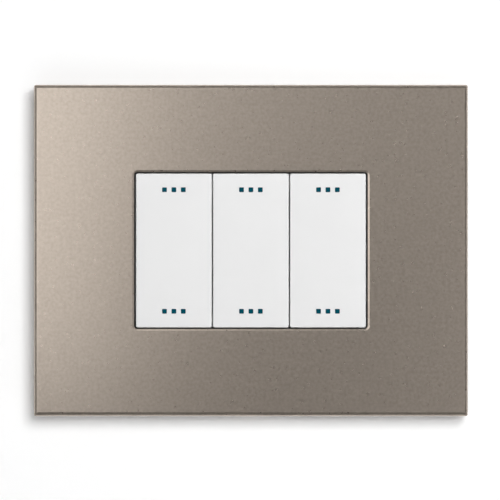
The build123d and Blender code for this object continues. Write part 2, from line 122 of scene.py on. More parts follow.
def linear(colour: str) -> tuple[float, float, float, float]:
    """Turns an sRGB hex colour into linear values.

    Args:
        colour: Colour as "#rrggbb".

    Returns:
        Red, green, blue and an alpha of 1.
    """
    parts = [int(colour[i:i + 2], 16) / 255 for i in (1, 3, 5)]
    red, green, blue = (c / 12.92 if c <= 0.04045 else ((c + 0.055) / 1.055) ** 2.4 for c in parts)
    return red, green, blue, 1.0


def per_metre(size_mm: float) -> float:
    """Gives the texture scale at which a pattern repeats every size_mm millimetres."""
    return 1 / (size_mm * MM)


def feed(node: Node, inputs: dict[str | int, object]) -> None:
    """Links output sockets into a node, or sets plain values on it.

    Args:
        node: The node.
        inputs: Output sockets or plain values by input name or number.
    """
    for name, value in inputs.items():
        if isinstance(value, NodeSocket):
            node.id_data.links.new(value, node.inputs[name])
        else:
            node.inputs[name].default_value = value


def add_node(
    tree: NodeTree, kind: str, inputs: dict[str | int, object] | None = None, **settings: object
) -> Node:
    """Adds a shader node, sets it and feeds it.

    Args:
        tree: Node tree that takes the node.
        kind: The node's type, without the leading "ShaderNode".
        inputs: What goes into it, by input name or number.
        settings: The node's own properties.

    Returns:
        The new node.
    """
    made = tree.nodes.new("ShaderNode" + kind)
    for name, value in settings.items():
        setattr(made, name, value)
    feed(made, inputs or {})
    return made


@dataclass(frozen=True)
class Finish(ABC):
    """A surface finish, kept as one procedural material.

    Attributes:
        name: Name of the material.
        slot: Slot of the record that the finish belongs to; not used.
        colour: Main colour, sRGB hex.
        shade: Second colour that the first one drifts to, sRGB hex.
        roughness: Mean roughness.
        spread: How far the roughness rises or falls.
    """

    name: str
    slot: str
    colour: str
    shade: str
    roughness: float
    spread: float = 0.06

    @abstractmethod
    def weave(self, shader: Node) -> None:
        """Adds the finish's pattern nodes to its shader.

        Args:
            shader: Shader that takes the pattern.
        """

    def material(self) -> Material:
        """Gives the finish's material, made the first time it is asked for.

        Returns:
            The material.
        """
        found = bpy.data.materials.get(self.name)
        if found is not None:
            return found
        made = bpy.data.materials.new(self.name)
        made.use_nodes = True
        tree = made.node_tree
        tree.nodes.clear()
        shader = add_node(tree, "BsdfPrincipled", {"Roughness": self.roughness})
        add_node(tree, "OutputMaterial", {"Surface": shader.outputs["BSDF"]})
        self.weave(shader)
        return made

    def drift(self, factor: NodeSocket) -> NodeSocket:
        """Mixes the finish's two colours.

        Args:
            factor: Share of the second colour.

        Returns:
            The mixed colour.
        """
        colours = {MIX_FACTOR: factor, MIX_FIRST: linear(self.colour), MIX_SECOND: linear(self.shade)}
        return add_node(factor.id_data, "Mix", colours, data_type="RGBA").outputs[MIX_RESULT]

    def vary(self, factor: NodeSocket) -> NodeSocket:
        """Spreads the roughness about its mean.

        Args:
            factor: Noise that it follows.

        Returns:
            The varied roughness.
        """
        ends = {"From Min": NOISE_LOW, "From Max": NOISE_HIGH}
        ends |= {"To Min": self.roughness - self.spread, "To Max": self.roughness + self.spread}
        return add_node(factor.id_data, "MapRange", {"Value": factor} | ends).outputs["Result"]

    def dress(self, *nodes: str) -> None:
        """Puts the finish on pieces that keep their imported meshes.

        Args:
            nodes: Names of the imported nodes.
        """
        for node in nodes:
            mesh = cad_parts[node].data
            if not mesh.materials:
                mesh.materials.append(None)
            for number in range(len(mesh.materials)):
                mesh.materials[number] = self.material()
            LOG.info("%s: %s", node, self.name)


@dataclass(frozen=True)
class MetallicCoating(Finish):
    """Metallic paint on moulded ABS: aluminium flakes in a taupe tint under satin lacquer.

    The flakes lie in soft clouds, which lean a little and cover more or less of the ground:
    that is the face's fine grain. Flakes are really about 0.05 mm across, and their clouds are
    drawn at flake_mm so that they show. The hollow behind the face stays bare plastic.

    Attributes:
        bare_colour: Colour of the bare plastic, sRGB hex.
        bare_roughness: Roughness of the bare plastic.
        bare_mm: Half sizes along X, Y and Z of the box about the origin that stays bare.
        flake_mm: Size of the drawn clouds of flakes.
        flake_tilt: Slope by which the flakes lean at most.
        peel_mm: Spacing of the lacquer's soft waves.
        peel_micron: Height of these waves.
        metallic: Mean share of the surface that flakes cover.
        cover: How far this share rises or falls from cloud to cloud.
        lacquer: Strength of the clear coat.
        lacquer_roughness: Roughness of the clear coat.
    """

    spread: float = 0.03
    bare_colour: str = "#8c857d"
    bare_roughness: float = 0.5
    bare_mm: tuple[float, float, float] = (62.6, 6.9, 47.6)
    flake_mm: float = 0.9
    flake_tilt: float = 0.003
    peel_mm: float = 1.6
    peel_micron: float = 1.2
    metallic: float = 0.93
    cover: float = 0.07
    lacquer: float = 0.25
    lacquer_roughness: float = 0.16

    def sprayed(self, place: NodeSocket) -> NodeSocket:
        """Tells the sprayed outside from the bare hollow.

        Args:
            place: Place on the plate, in metres.

        Returns:
            1 where the paint lies, 0 where the plastic is bare.
        """
        tree = place.id_data
        core = tuple(size * MM for size in self.bare_mm)
        away = add_node(tree, "VectorMath", {0: place}, operation="ABSOLUTE").outputs["Vector"]
        share = add_node(tree, "VectorMath", {0: away, 1: core}, operation="DIVIDE").outputs["Vector"]
        most, *others = add_node(tree, "SeparateXYZ", {"Vector": share}).outputs
        for other in others:
            most = add_node(tree, "Math", {0: most, 1: other}, operation="MAXIMUM").outputs["Value"]
        return add_node(tree, "Math", {0: most, 1: 1.0}, operation="GREATER_THAN").outputs["Value"]

    def weave(self, shader: Node) -> None:
        """Leans the flakes, waves the lacquer, lets the tint drift and leaves the hollow bare.

        Args:
            shader: Shader that takes the pattern.
        """
        tree = shader.id_data
        place = add_node(tree, "TexCoord").outputs["Object"]
        clouds = {"Vector": place, "Scale": per_metre(self.flake_mm), "Detail": 2.0}
        flakes = add_node(tree, "TexNoise", clouds)
        wave = {"Vector": place, "Scale": per_metre(self.peel_mm), "Detail": 2.0}
        peel = add_node(tree, "TexNoise", wave).outputs["Fac"]
        bump = {"Height": peel, "Distance": self.peel_micron * MICRON}
        smooth = add_node(tree, "Bump", bump).outputs["Normal"]
        lean = {0: flakes.outputs["Color"], 1: (2 * self.flake_tilt,) * 3, 2: (-self.flake_tilt,) * 3}
        tilt = add_node(tree, "VectorMath", lean, operation="MULTIPLY_ADD").outputs["Vector"]
        leaned = add_node(tree, "VectorMath", {0: smooth, 1: tilt}, operation="ADD").outputs["Vector"]
        normal = add_node(tree, "VectorMath", {0: leaned}, operation="NORMALIZE").outputs["Vector"]
        clouded = {"Value": flakes.outputs["Fac"], "From Min": NOISE_LOW, "From Max": NOISE_HIGH}
        glint = add_node(tree, "MapRange", clouded).outputs["Result"]
        paint = self.sprayed(place)
        tints = {MIX_FACTOR: paint, MIX_FIRST: linear(self.bare_colour), MIX_SECOND: self.drift(glint)}
        tint = add_node(tree, "Mix", tints, data_type="RGBA").outputs[MIX_RESULT]
        glosses = {MIX_FACTOR: paint, BLEND_FIRST: self.bare_roughness, BLEND_SECOND: self.vary(peel)}
        gloss = add_node(tree, "Mix", glosses, data_type="FLOAT").outputs[BLEND_RESULT]
        covers = {"Value": glint, "To Min": self.metallic - self.cover, "To Max": self.metallic + self.cover}
        flaked = add_node(tree, "MapRange", covers).outputs["Result"]
        metal = add_node(tree, "Math", {0: paint, 1: flaked}, operation="MULTIPLY").outputs["Value"]
        clear = add_node(tree, "Math", {0: paint, 1: self.lacquer}, operation="MULTIPLY").outputs["Value"]
        feed(shader, {"Base Color": tint, "Roughness": gloss, "Metallic": metal, "Normal": normal})
        feed(shader, {"Coat Weight": clear, "Coat Normal": smooth, "Coat Roughness": self.lacquer_roughness})


@dataclass(frozen=True)
class MouldedPlastic(Finish):
    """Injection-moulded plastic from a spark-eroded mould.

    The mould leaves a fine even grain that makes the gloss satin, and the melt's flow
    leaves hardly visible drifts of tone. Edges are slightly round, as moulds make them.
    The grain is really about 0.05 mm across and is drawn at grain_mm so that it shows.

    Attributes:
        ior: Index of refraction of the resin.
        grain_mm: Size of the drawn grain.
        grain_micron: Depth of the grain.
        flow_mm: Size of the drifts of tone.
        edge_mm: Radius that the eye sees on sharp edges.
        gloss: How much it mirrors, 0.5 for what its index of refraction gives.
    """

    ior: float = 1.53
    grain_mm: float = 0.4
    grain_micron: float = 3.0
    flow_mm: float = 14.0
    edge_mm: float = 0.12
    gloss: float = 0.5

    def weave(self, shader: Node) -> None:
        """Adds the mould's grain, the flow's tones and the soft edges.

        Args:
            shader: Shader that takes the pattern.
        """
        tree = shader.id_data
        place = add_node(tree, "TexCoord").outputs["Object"]
        grain = {"Vector": place, "Scale": per_metre(self.grain_mm), "Detail": 3.0}
        speck = add_node(tree, "TexNoise", grain).outputs["Fac"]
        flow = {"Vector": place, "Scale": per_metre(self.flow_mm), "Detail": 2.0, "Distortion": 1.0}
        tone = add_node(tree, "TexNoise", flow).outputs["Fac"]
        edge = add_node(tree, "Bevel", {"Radius": self.edge_mm * MM}, samples=EDGE_RAYS).outputs["Normal"]
        bump = {"Height": speck, "Distance": self.grain_micron * MICRON, "Normal": edge}
        normal = add_node(tree, "Bump", bump).outputs["Normal"]
        rough = self.vary(speck)
        feed(shader, {"Base Color": self.drift(tone), "Roughness": rough, "Normal": normal})
        feed(shader, {"IOR": self.ior, "Specular IOR Level": self.gloss})


@dataclass(frozen=True)
class RolledMetal(Finish):
    """Strip or wire metal, with the fine lines that rolls and dies leave along it.

    The lines run along Y and Z, are a few hundredths of a millimetre apart and are drawn
    at line_mm so that they show. Handling leaves duller patches of tarnish.

    Attributes:
        line_mm: Spacing of the drawn lines.
        line_micron: Depth of the lines.
        stretch: How many times longer than wide a line is.
        tarnish_mm: Size of the duller patches.
        edge_mm: Radius that the eye sees on sharp edges.
    """

    spread: float = 0.1
    line_mm: float = 0.25
    line_micron: float = 1.5
    stretch: float = 14.0
    tarnish_mm: float = 5.0
    edge_mm: float = 0.08

    def weave(self, shader: Node) -> None:
        """Adds the rolled lines, the tarnish and the soft edges.

        Args:
            shader: Shader that takes the pattern.
        """
        tree = shader.id_data
        place = add_node(tree, "TexCoord").outputs["Object"]
        along = (1.0, 1 / self.stretch, 1 / self.stretch)
        drawn = add_node(tree, "Mapping", {"Vector": place, "Scale": along}).outputs["Vector"]
        lines = {"Vector": drawn, "Scale": per_metre(self.line_mm), "Detail": 2.0}
        line = add_node(tree, "TexNoise", lines).outputs["Fac"]
        patches = {"Vector": place, "Scale": per_metre(self.tarnish_mm), "Detail": 4.0}
        patch = add_node(tree, "TexNoise", patches).outputs["Fac"]
        edge = add_node(tree, "Bevel", {"Radius": self.edge_mm * MM}, samples=EDGE_RAYS).outputs["Normal"]
        bump = {"Height": line, "Distance": self.line_micron * MICRON, "Normal": edge}
        normal = add_node(tree, "Bump", bump).outputs["Normal"]
        rough = self.vary(patch)
        tint = self.drift(patch)
        feed(shader, {"Base Color": tint, "Roughness": rough, "Normal": normal, "Metallic": 1.0})


@dataclass(frozen=True)
class WallPaint(Finish):
    """White roller-painted plaster of the wall and floor, seen from its painted side only.

    The roller leaves a soft low stipple. To the eye the paint is plain white, and the
    plate's shadow stays on it.

    Attributes:
        lift: White that is added where the eye or a reflection meets the paint.
        stipple_mm: Spacing of the stipple.
        stipple_micron: Height of the stipple.
        gloss: How much the paint mirrors.
    """

    lift: float = 0.09
    stipple_mm: float = 2.5
    stipple_micron: float = 12.0
    gloss: float = 0.1

    def weave(self, shader: Node) -> None:
        """Adds the stipple, the lift to white and the open rear side.

        Args:
            shader: Shader that takes the pattern.
        """
        tree = shader.id_data
        place = add_node(tree, "TexCoord").outputs["Object"]
        stipple = {"Vector": place, "Scale": per_metre(self.stipple_mm), "Detail": 3.0}
        height = add_node(tree, "TexNoise", stipple).outputs["Fac"]
        bump = {"Height": height, "Distance": self.stipple_micron * MICRON}
        normal = add_node(tree, "Bump", bump).outputs["Normal"]
        ray = add_node(tree, "LightPath").outputs
        seen = ray["Is Camera Ray"]
        for kind in ("Is Glossy Ray", "Is Transmission Ray"):
            seen = add_node(tree, "Math", {0: seen, 1: ray[kind]}, operation="MAXIMUM").outputs["Value"]
        lift = add_node(tree, "Math", {0: seen, 1: self.lift}, operation="MULTIPLY").outputs["Value"]
        feed(shader, {"Base Color": self.drift(height), "Normal": normal})
        feed(shader, {"Emission Strength": lift, "Emission Color": WHITE, "Specular IOR Level": self.gloss})
        rear = add_node(tree, "NewGeometry").outputs["Backfacing"]
        clear = add_node(tree, "BsdfTransparent").outputs["BSDF"]
        shown = {"Fac": rear, 1: shader.outputs["BSDF"], 2: clear}
        surface = add_node(tree, "MixShader", shown).outputs["Shader"]
        feed(next(node for node in tree.nodes if node.type == "OUTPUT_MATERIAL"), {"Surface": surface})


# Taupe metallic paint: warm grey flakes, bright where they mirror the light.
PLATE_COATING = MetallicCoating("taupe_metallic_paint", "plate_metallic", "#b9ada1", "#afa397", 0.3)
# ASA keys: near white, satin, and even in tone.
KEY_PLASTIC = MouldedPlastic("white_moulded_asa", "key_white", "#e9e9e9", "#e6e6e6", 0.42)
# PMMA inlays: deep teal and smooth, mirroring little, so they read as small dark windows.
MARK_PLASTIC = MouldedPlastic(
    "teal_moulded_pmma", "mark_teal", "#004c5b", "#004352", 0.1,
    ior=1.49, grain_micron=0.6, flow_mm=2.0, edge_mm=0.06, gloss=0.15,
)
# Glass-filled polyamide of the frame: mid grey, dull, with visible flow.
FRAME_PLASTIC = MouldedPlastic(
    "grey_moulded_polyamide", "frame_grey", "#8b8d8f", "#7f8183", 0.55,
    grain_mm=0.6, grain_micron=8.0,
)
# Polycarbonate module fronts: clean white with a soft gloss.
FRONT_PLASTIC = MouldedPlastic(
    "white_moulded_polycarbonate", "module_white", "#e4e4e2", "#dcdcda", 0.4, ior=1.58,
)
# Polyamide module bases: dark grey, dull and slightly grainy.
BASE_PLASTIC = MouldedPlastic(
    "dark_moulded_polyamide", "module_grey", "#5f6163", "#565859", 0.52,
    grain_mm=0.6, grain_micron=7.0,
)
# Acetal carriers: natural milky white, waxy.
CARRIER_PLASTIC = MouldedPlastic(
    "natural_moulded_acetal", "carrier_plastic", "#dad9d4", "#d2d1cb", 0.38, ior=1.48,
)
# Phosphor bronze blades: reddish gold with rolled lines.
BLADE_METAL = RolledMetal("rolled_phosphor_bronze", "spring_bronze", "#d3ad80", "#c49a6c", 0.28)
# Silver alloy tips: pale and slightly dull from coining.
TIP_METAL = RolledMetal("coined_silver_alloy", "contact_silver", "#edebe7", "#d9d5cd", 0.3, stretch=1.0)
# Brass terminal strips: yellow, with rolled lines and faint tarnish.
STRIP_METAL = RolledMetal("rolled_brass_strip", "terminal_brass", "#ddc58c", "#c9ad72", 0.3)
# Zinc-plated steel of cages and screws: cool grey, cloudy from the bath.
PLATED_METAL = RolledMetal(
    "zinc_plated_steel", "plated_steel", "#d7d7d6", "#bfc1c2", 0.34, stretch=2.0, tarnish_mm=2.0,
)
# Wall paint: white, with the plate's shadow on it.
WALL_PAINT = WallPaint("white_wall_paint", "stage", "#fdfdfd", "#fbfbfb", 0.9)
# Floor and backdrop paint: the same white, lifted more because the lights hardly reach them.
FLOOR_PAINT = WallPaint("white_floor_paint", "stage", "#fdfdfd", "#fbfbfb", 0.9, lift=1.0)


def add_box(form: BMesh, low: Sequence[float], high: Sequence[float]) -> None:
    """Adds a closed box to a form.

    Args:
        form: Form that takes the box, in millimetres.
        low: Lowest corner.
        high: Highest corner.
    """
    middle = [(a + b) / 2 for a, b in zip(low, high)]
    size = [b - a for a, b in zip(low, high)]
    place = Matrix.Translation(middle) @ Matrix.Diagonal((*size, 1.0))
    bmesh.ops.create_cube(form, size=1.0, matrix=place)


def add_rings(form: BMesh, rings: Sequence[Sequence[Sequence[float]]]) -> None:
    """Adds a closed skin through rings of equally many points, with both ends capped.

    Args:
        form: Form that takes the skin, in millimetres.
        rings: Rings of points, from one end to the other.
    """
    rows = [[form.verts.new(point) for point in ring] for ring in rings]
    count = len(rows[0])
    for near, far in zip(rows, rows[1:]):
        for i in range(count):
            j = (i + 1) % count
            form.faces.new((near[i], near[j], far[j], far[i]))
    form.faces.new(list(reversed(rows[0])))
    form.faces.new(rows[-1])


def rounded_ring(
    width: float, height: float, corner: float, y: float, steps: int = ROUND_STEPS
) -> list[Vector]:
    """Gives the points of a rounded rectangle that lies across Y.

    Args:
        width: Size along X.
        height: Size along Z.
        corner: Corner radius.
        y: Depth of the ring.
        steps: Steps in each corner.

    Returns:
        The ring's points.
    """
    points = []
    for quarter, (sx, sz) in enumerate(((1, 1), (-1, 1), (-1, -1), (1, -1))):
        x = sx * (width / 2 - corner)
        z = sz * (height / 2 - corner)
        for step in range(steps + 1):
            turn = math.radians(90 * (quarter + step / steps))
            points.append(Vector((x + corner * math.cos(turn), y, z + corner * math.sin(turn))))
    return points


def shade_mesh(mesh: Mesh) -> None:
    """Shades a mesh smooth between its crisp edges."""
    mesh.shade_smooth()
    mesh.set_sharp_from_angle(angle=math.radians(CREASE_DEG))


def make_piece(name: str, form: BMesh) -> Object:
    """Turns a form in millimetres into an object in metres.

    Args:
        name: Name of the object.
        form: The form, which is used up.

    Returns:
        The new object.
    """
    bmesh.ops.scale(form, vec=(MM, MM, MM), verts=form.verts)
    bmesh.ops.recalc_face_normals(form, faces=form.faces)
    mesh = bpy.data.meshes.new(name)
    form.to_mesh(mesh)
    form.free()
    shade_mesh(mesh)
    piece = bpy.data.objects.new(name, mesh)
    bpy.context.scene.collection.objects.link(piece)
    return piece


def work(piece: Object, tool: Object, how: Cut) -> None:
    """Cuts a tool mesh out of a piece, or joins it on, and removes the tool.

    Args:
        piece: Piece that is worked.
        tool: Closed mesh that works it.
        how: Whether the tool is taken away or joined.
    """
    step = piece.modifiers.new("work", "BOOLEAN")
    step.operation = how.value
    step.solver = "EXACT"
    step.object = tool
    bpy.context.view_layer.update()
    graph = bpy.context.evaluated_depsgraph_get()
    worked = bpy.data.meshes.new_from_object(piece.evaluated_get(graph))
    piece.modifiers.remove(step)
    # The cut's rim has corners where only two edges meet, which triangulate badly.
    form = bmesh.new()
    form.from_mesh(worked)
    bmesh.ops.dissolve_verts(form, verts=[corner for corner in form.verts if len(corner.link_edges) == 2])
    form.to_mesh(worked)
    form.free()
    piece.data = worked
    piece.data.name = piece.name
    shade_mesh(piece.data)
    bpy.data.objects.remove(tool)


def finish_piece(piece: Object, finish: Finish, *nodes: str) -> None:
    """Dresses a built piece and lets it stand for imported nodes.

    Args:
        piece: The piece.
        finish: Its finish.
        nodes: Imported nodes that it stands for.
    """
    piece.data.materials.clear()
    piece.data.materials.append(finish.material())
    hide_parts(*nodes)
    LOG.info("%s: %s, %d faces", piece.name, finish.name, len(piece.data.polygons))


class CoverPlate:
    """The metallic plate with its window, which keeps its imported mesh."""

    def build(self) -> None:
        """Dresses the plate."""
        PLATE_COATING.dress("cover_plate")


class SupportFrame:
    """The frame behind the plate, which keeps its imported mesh."""

    def build(self) -> None:
        """Dresses the frame."""
        FRAME_PLASTIC.dress("mounting_frame")


@dataclass
class ScrewThread:
    """A turned screw about its own Z axis, with a cut metric thread.

    Attributes:
        radius: Outer radius of the thread, in millimetres like all sizes here.
        pitch: Height of one turn.
        depth: Depth of the groove.
        flank: Width of one side of the groove, as a share of the pitch.
        segments: Points around the screw.
        rings_per_turn: Rings that draw one turn.
    """

    radius: float = 1.75
    pitch: float = 0.6
    depth: float = 0.34
    flank: float = 0.42
    segments: int = 40
    rings_per_turn: int = 8

    def groove(self, height: float, turn: float) -> float:
        """Gives how deep the V groove is at a height and a share of a turn."""
        phase = (height / self.pitch - turn) % 1.0
        return self.depth * max(0.0, 1.0 - abs(phase - 0.5) / self.flank)

    def ring(self, radius: float, height: float, share: float) -> list[Vector]:
        """Gives one ring of the screw.

        Args:
            radius: Radius before the groove is cut.
            height: Height of the ring.
            share: Share of the groove's full depth, 0 for a plain ring.

        Returns:
            The ring's points.
        """
        points = []
        for step in range(self.segments):
            turn = step / self.segments
            reach = radius - share * self.groove(height, turn)
            angle = math.tau * turn
            points.append(Vector((reach * math.cos(angle), reach * math.sin(angle), height)))
        return points

    def rings(self, low: float, high: float) -> list[list[Vector]]:
        """Gives the threaded stretch, run out at both ends.

        Args:
            low: Height where the thread starts.
            high: Height where it ends.

        Returns:
            The rings, from low to high.
        """
        count = max(2, round((high - low) / self.pitch * self.rings_per_turn))
        made = []
        for step in range(count + 1):
            height = low + (high - low) * step / count
            share = min(1.0, (height - low) / self.pitch, (high - height) / self.pitch)
            made.append(self.ring(self.radius, height, share))
        return made


@dataclass
class FixingScrews:
    """The two slotted pan-head screws that hold the frame on a wall box.

    Attributes:
        spacing: Distance between the screws, in millimetres like all sizes here.
        head_front: Depth of the head's top.
        head_back: Depth of the head's seat.
        head_radius: Radius of the head.
        head_round: Radius of the head's upper edge.
        neck_radius: Radius of the plain neck.
        thread_start: Depth where the thread starts.
        tip: Depth of the screw's end.
        slot_width: Width and depth of the slot.
        point: Length and width of the chamfer at the tip.
    """

    spacing: float = 83.5
    head_front: float = -5.0
    head_back: float = -2.8
    head_radius: float = 3.4
    head_round: float = 1.2
    neck_radius: float = 1.4
    thread_start: float = 0.0
    tip: float = 20.0
    slot_width: float = 1.0
    point: float = 0.6

    def rings(self, thread: ScrewThread) -> list[list[Vector]]:
        """Gives one screw along Z, its head first.

        Args:
            thread: The screw's thread.

        Returns:
            The rings, from the head's top to the tip.
        """
        made = []
        for step in range(ROUND_STEPS + 1):
            turn = math.radians(90 * step / ROUND_STEPS)
            radius = self.head_radius - self.head_round * (1 - math.sin(turn))
            made.append(thread.ring(radius, self.head_front + self.head_round * (1 - math.cos(turn)), 0.0))
        made.append(thread.ring(self.head_radius, self.head_back, 0.0))
        made.append(thread.ring(self.neck_radius, self.head_back, 0.0))
        made.append(thread.ring(self.neck_radius, self.thread_start, 0.0))
        made += thread.rings(self.thread_start, self.tip - self.point)
        made.append(thread.ring(thread.radius - self.point, self.tip, 0.0))
        return made

    def build(self) -> None:
        """Builds both screws with their slots as one piece."""
        thread = ScrewThread()
        into_wall = Matrix.Rotation(math.radians(-90), 3, "X")
        form = bmesh.new()
        slots = bmesh.new()
        half = self.slot_width / 2
        for x in (-self.spacing / 2, self.spacing / 2):
            aside = Vector((x, 0, 0))
            add_rings(form, [[into_wall @ point + aside for point in ring] for ring in self.rings(thread)])
            low = (x - 2 * self.head_radius, self.head_front - self.slot_width, -half)
            add_box(slots, low, (x + 2 * self.head_radius, self.head_front + self.slot_width, half))
        screws = make_piece("fixing_screws_threaded", form)
        work(screws, make_piece("screw_slots", slots), Cut.TAKE_AWAY)
        finish_piece(screws, PLATED_METAL, "fixing_screws")
        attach(screws, WALL_BODY)


@dataclass
class RockerKey:
    """A flat white key with its marks; sizes are in millimetres.

    Attributes:
        width: Width of the cap.
        height: Height of the cap.
        front: Depth of its face.
        inside: Depth of the face's rear side.
        back: Depth of the skirt's edge.
        skirt: Wall of the skirt.
        corner: Corner radius seen from the front.
        edge: Radius of the face's edge.
        mark: Size of a mark.
        mark_pitch: Distance between marks.
        mark_inset: Distance of a row of marks from the cap's end.
        mark_depth: Depth of a mark's pocket.
        mark_fit: Gap round a mark in its pocket.
        mark_crown: How far a mark's rim lies below its middle.
        mark_corner: Corner radius of a mark.
        mark_corner_steps: Steps in such a corner.
        mark_steps: Steps from a mark's rim to its middle.
        leg_width: Width of a clip leg.
        leg_root: How far a leg runs into the face.
        leg_inner: Distance of a leg's inner side from the key's middle.
        leg_outer: Distance of its outer side.
        leg_barb: Distance of its barb's tip.
        leg_latch: Depth of the barb's holding side.
        leg_shoulder: Depth where the barb's slope starts.
        leg_tip: Depth of the leg's end.
    """

    width: float = 22.15
    height: float = 45.0
    front: float = -8.3
    inside: float = -6.9
    back: float = -4.927
    skirt: float = 1.2
    corner: float = 0.5
    edge: float = 0.3
    mark: float = 1.4
    mark_pitch: float = 2.75
    mark_inset: float = 4.75
    mark_depth: float = 0.6
    mark_fit: float = 0.01
    mark_crown: float = 0.015
    mark_corner: float = 0.25
    mark_corner_steps: int = 3
    mark_steps: int = 5
    leg_width: float = 5.0
    leg_root: float = 0.3
    leg_inner: float = 8.35
    leg_outer: float = 9.45
    leg_barb: float = 9.95
    leg_latch: float = -3.75
    leg_shoulder: float = -3.383
    leg_tip: float = -2.65

    def mark_places(self) -> list[tuple[float, float]]:
        """Gives the middles of the marks, as (x, z)."""
        level = self.height / 2 - self.mark_inset
        return [(column * self.mark_pitch, z) for z in (level, -level) for column in (-1, 0, 1)]

    def cap_rings(self) -> list[list[Vector]]:
        """Gives the cap's skin.

        Returns:
            The rings, from the skirt's edge to the face.
        """
        made = [rounded_ring(self.width, self.height, self.corner, self.back)]
        for step in range(ROUND_STEPS + 1):
            turn = math.radians(90 * step / ROUND_STEPS)
            inset = self.edge * (1 - math.cos(turn))
            depth = self.front + self.edge * (1 - math.sin(turn))
            width = self.width - 2 * inset
            made.append(rounded_ring(width, self.height - 2 * inset, self.corner - inset, depth))
        return made

    def leg_rings(self, end: End) -> list[list[Vector]]:
        """Gives one barbed clip leg, from its left side to its right.

        Args:
            end: End of the key that the leg is near.

        Returns:
            The two side outlines.
        """
        root = self.inside - self.leg_root
        outline = [(root, self.leg_inner), (self.leg_tip, self.leg_inner), (self.leg_tip, self.leg_outer)]
        outline += [(self.leg_shoulder, self.leg_barb), (self.leg_latch, self.leg_barb)]
        outline += [(self.leg_latch, self.leg_outer), (root, self.leg_outer)]
        half = self.leg_width / 2
        return [[Vector((x, y, end.value * z)) for y, z in outline] for x in (-half, half)]

    def cap(self, name: str) -> Object:
        """Builds the hollow cap with pockets and legs about x = 0.

        Args:
            name: Name of the piece.

        Returns:
            The cap.
        """
        form = bmesh.new()
        add_rings(form, self.cap_rings())
        hollow = bmesh.new()
        half_w = self.width / 2 - self.skirt
        half_h = self.height / 2 - self.skirt
        add_box(hollow, (-half_w, self.inside, -half_h), (half_w, self.back + self.skirt, half_h))
        half = self.mark / 2
        for x, z in self.mark_places():
            low = (x - half, self.front - self.mark_depth, z - half)
            add_box(hollow, low, (x + half, self.front + self.mark_depth, z + half))
        legs = bmesh.new()
        for end in End:
            add_rings(legs, self.leg_rings(end))
        piece = make_piece(name, form)
        work(piece, make_piece("key_hollow", hollow), Cut.TAKE_AWAY)
        work(piece, make_piece("key_legs", legs), Cut.JOIN)
        return piece

    def marks(self, name: str) -> Object:
        """Builds the six inlays, each with a slightly crowned face.

        Args:
            name: Name of the piece.

        Returns:
            The inlays.
        """
        form = bmesh.new()
        size = self.mark - 2 * self.mark_fit
        bend = self.mark_corner_steps
        for x, z in self.mark_places():
            rings = [rounded_ring(size, size, self.mark_corner, self.front + self.mark_depth, bend)]
            for step in range(self.mark_steps):
                share = 1 - step / self.mark_steps
                depth = self.front + self.mark_crown * share * share
                rings.append(rounded_ring(size * share, size * share, self.mark_corner * share, depth, bend))
            aside = Vector((x, 0, z))
            add_rings(form, [[point + aside for point in ring] for ring in rings])
        return make_piece(name, form)


@dataclass
class ContactBlades:
    """The two spring blades of a module and the tips on them; sizes are in millimetres.

    Attributes:
        front: Depth of a blade's front.
        back: Depth of a blade's back.
        root: Height where a blade starts.
        tip: Height where it ends.
        root_width: Width at the root.
        tip_width: Width at the tip.
        tip_round: Stretch over which the tip rounds off.
        bend_end: Height from which a blade would follow its rocker; nothing here moves it with the rocker.
        steps: Steps along a blade, fine enough to bend.
        tip_steps: Steps of its rounded tip.
        pad: Width and height of a contact tip.
        pad_height: Thickness of a contact tip.
        pad_middle: Height of a contact tip's middle.
        pad_edge: Rounding of a contact tip.
        pad_edge_steps: Steps of this rounding.
    """

    front: float = 3.0
    back: float = 3.35
    root: float = 1.0
    tip: float = 18.2
    root_width: float = 5.0
    tip_width: float = 3.6
    tip_round: float = 0.5
    bend_end: float = 11.6
    steps: int = 24
    tip_steps: int = 5
    pad: float = 3.0
    pad_height: float = 0.9
    pad_middle: float = 16.4
    pad_edge: float = 0.2
    pad_edge_steps: int = 3

    def half_width(self, height: float) -> float:
        """Gives half the blade's width.

        Args:
            height: Distance from the module's middle.

        Returns:
            Half the width there.
        """
        share = (height - self.root) / (self.tip - self.root)
        half = (self.root_width + (self.tip_width - self.root_width) * share) / 2
        over = max(0.0, height - self.tip + self.tip_round) / self.tip_round
        return half - self.tip_round * (1 - math.sqrt(max(0.0, 1 - over * over)))

    def blade(self, name: str, end: End) -> Object:
        """Builds one blade about x = 0.

        Args:
            name: Name of the piece.
            end: End of the module that it reaches to.

        Returns:
            The blade.
        """
        long = self.tip - self.tip_round - self.root
        heights = [self.root + long * step / self.steps for step in range(self.steps + 1)]
        for step in range(1, self.tip_steps + 1):
            heights.append(self.tip - self.tip_round * (1 - step / self.tip_steps))
        rings = []
        for height in heights:
            half = self.half_width(height)
            corners = ((-half, self.front), (half, self.front), (half, self.back), (-half, self.back))
            rings.append([Vector((x, y, end.value * height)) for x, y in corners])
        form = bmesh.new()
        add_rings(form, rings)
        return make_piece(name, form)

    def contact(self, name: str, end: End) -> Object:
        """Builds the rounded contact tip of one blade about x = 0.

        Args:
            name: Name of the piece.
            end: End of the module that it belongs to.

        Returns:
            The contact tip.
        """
        form = bmesh.new()
        half = self.pad / 2
        middle = end.value * self.pad_middle
        add_box(form, (-half, self.back, middle - half), (half, self.back + self.pad_height, middle + half))
        bmesh.ops.bevel(
            form, geom=form.edges, offset=self.pad_edge, segments=self.pad_edge_steps,
            affect="EDGES", profile=0.5,
        )
        return make_piece(name, form)


